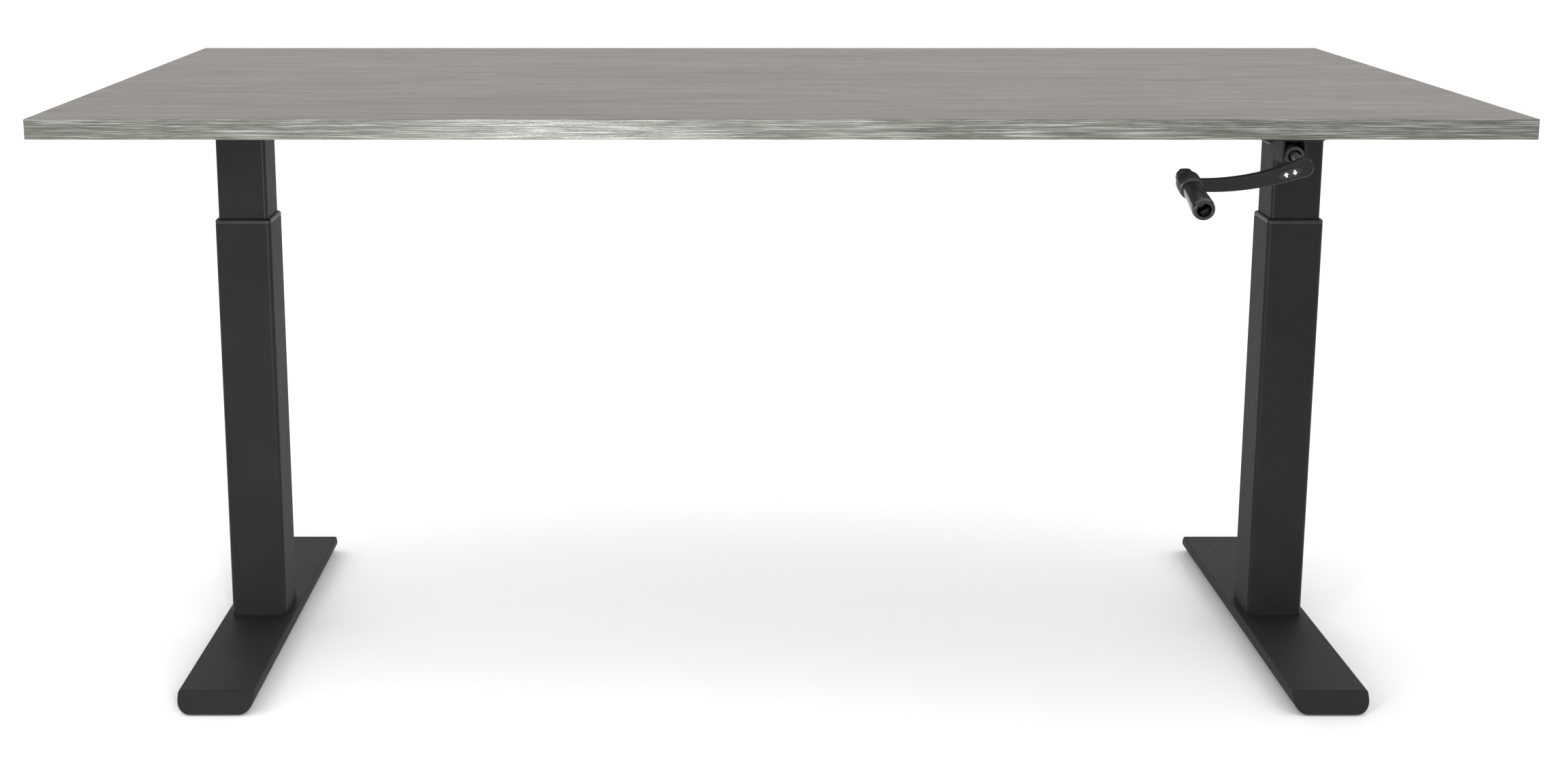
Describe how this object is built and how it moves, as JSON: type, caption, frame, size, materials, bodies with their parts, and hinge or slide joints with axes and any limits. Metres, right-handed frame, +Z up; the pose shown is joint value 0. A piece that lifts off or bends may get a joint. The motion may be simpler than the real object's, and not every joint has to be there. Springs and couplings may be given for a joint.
{
  "type": "height adjustable standing desk",
  "caption": "Two-column standing desk raised by a hand crank: rectangular laminate top on telescoping square steel columns with long flat feet.",
  "frame": {"origin": "on the floor, at the centre of the plan box, which runs from the crank grip's open end to the desktop's rear edge; the columns stand 45.8 mm behind it", "axes": "+Z up, +X to the right of a user facing the desk, +Y away from the user"},
  "size_m": [1.6, 0.8916, 0.72],
  "materials": {
    "laminate": "grey oak woodgrain laminate, satin",
    "edging": "grey oak woodgrain edging, satin",
    "frame_coat": "charcoal powder coat, fine texture",
    "gearbox_case": "black painted casting",
    "bare_steel": "zinc plated",
    "gear_steel": "sintered steel, lightly greased",
    "bronze": "machined bronze",
    "nylon": "matte",
    "grip_plastic": "glossy moulded",
    "foot_rubber": "matte rubber"
  },
  "bodies": {
    "base": {"left_foot": "frame_coat", "right_foot": "frame_coat", "left_outer_column": "frame_coat", "right_outer_column": "frame_coat", "left_column_collar": "nylon", "right_column_collar": "nylon", "left_base_plate": "bare_steel", "right_base_plate": "bare_steel", "left_nut_post": "bare_steel", "right_nut_post": "bare_steel", "left_lead_nut": "bronze", "right_lead_nut": "bronze", "left_front_foot_bolt": "bare_steel", "left_rear_foot_bolt": "bare_steel", "right_front_foot_bolt": "bare_steel", "right_rear_foot_bolt": "bare_steel"},
    "top": {"desktop": "laminate", "edge_band": "edging", "front_rail": "frame_coat", "rear_rail": "frame_coat", "left_side_support": "frame_coat", "right_side_support": "frame_coat", "left_inner_column": "frame_coat", "right_inner_column": "frame_coat", "left_column_glide": "nylon", "right_column_glide": "nylon", "left_gearbox_housing": "gearbox_case", "right_gearbox_housing": "gearbox_case", "left_gearbox_cover": "gearbox_case", "right_gearbox_cover": "gearbox_case", "left_screw_bearing": "bare_steel", "right_screw_bearing": "bare_steel", "corner_gearbox_housing": "gearbox_case", "corner_gearbox_cover": "gearbox_case", "crank_bracket": "frame_coat", "crank_guide_tube": "gearbox_case", "flexible_coupling": "bare_steel"},
    "crank": {"crank_stub_shaft": "bare_steel", "crank_arm": "frame_coat", "handle_pin": "bare_steel", "pin_knob": "nylon"},
    "grip": {"crank_grip": "grip_plastic"},
    "drive_line": {"drive_shaft": "bare_steel", "drive_bevel": "gear_steel"},
    "cross_line": {"cross_shaft": "bare_steel", "left_cross_bevel": "gear_steel", "right_cross_bevel": "gear_steel", "input_cross_bevel": "gear_steel"},
    "left_screw": {"left_lead_screw": "bare_steel", "left_screw_bevel": "gear_steel"},
    "right_screw": {"right_lead_screw": "bare_steel", "right_screw_bevel": "gear_steel"},
    "left_front_pad": {"left_front_levelling_foot": "foot_rubber"},
    "left_rear_pad": {"left_rear_levelling_foot": "foot_rubber"},
    "right_front_pad": {"right_front_levelling_foot": "foot_rubber"},
    "right_rear_pad": {"right_rear_levelling_foot": "foot_rubber"}
  },
  "joints": [
    {"name": "lift", "type": "slide", "parent": "base", "child": "top", "axis": [0, 0, 1], "range_m": [-0.02, 0.4]},
    {"name": "crank_turn", "type": "hinge", "parent": "top", "child": "crank", "pos_m": [0.545, -0.3342, 0.683], "axis": [0, 0.9744, 0.225], "range_deg": [-905, 18005]},
    {"name": "grip_spin", "type": "hinge", "parent": "crank", "child": "grip", "pos_m": [0.428, -0.37463, 0.65365], "axis": [0, 0.9744, 0.225], "continuous": true},
    {"name": "drive_spin", "type": "hinge", "parent": "top", "child": "drive_line", "pos_m": [0.545, 0, 0.683], "axis": [0, 1, 0], "range_deg": [-905, 18005]},
    {"name": "cross_spin", "type": "hinge", "parent": "top", "child": "cross_line", "pos_m": [0, 0.0458, 0.683], "axis": [1, 0, 0], "range_deg": [-18005, 905]},
    {"name": "left_screw_spin", "type": "hinge", "parent": "top", "child": "left_screw", "pos_m": [-0.657, 0.0458, 0.683], "axis": [0, 0, 1], "range_deg": [-18005, 905]},
    {"name": "right_screw_spin", "type": "hinge", "parent": "top", "child": "right_screw", "pos_m": [0.657, 0.0458, 0.683], "axis": [0, 0, 1], "range_deg": [-905, 18005]},
    {"name": "left_front_level", "type": "slide", "parent": "base", "child": "left_front_pad", "axis": [0, 0, -1], "range_m": [0, 0.008]},
    {"name": "left_rear_level", "type": "slide", "parent": "base", "child": "left_rear_pad", "axis": [0, 0, -1], "range_m": [0, 0.008]},
    {"name": "right_front_level", "type": "slide", "parent": "base", "child": "right_front_pad", "axis": [0, 0, -1], "range_m": [0, 0.008]},
    {"name": "right_rear_level", "type": "slide", "parent": "base", "child": "right_rear_pad", "axis": [0, 0, -1], "range_m": [0, 0.008]}
  ],
  "couplings": [
    {"joint": "crank_turn", "follows": "lift", "rad_per_m": 785.4},
    {"joint": "drive_spin", "follows": "lift", "rad_per_m": 785.4},
    {"joint": "cross_spin", "follows": "lift", "rad_per_m": -785.4},
    {"joint": "right_screw_spin", "follows": "lift", "rad_per_m": 785.4},
    {"joint": "left_screw_spin", "follows": "lift", "rad_per_m": -785.4}
  ]
}
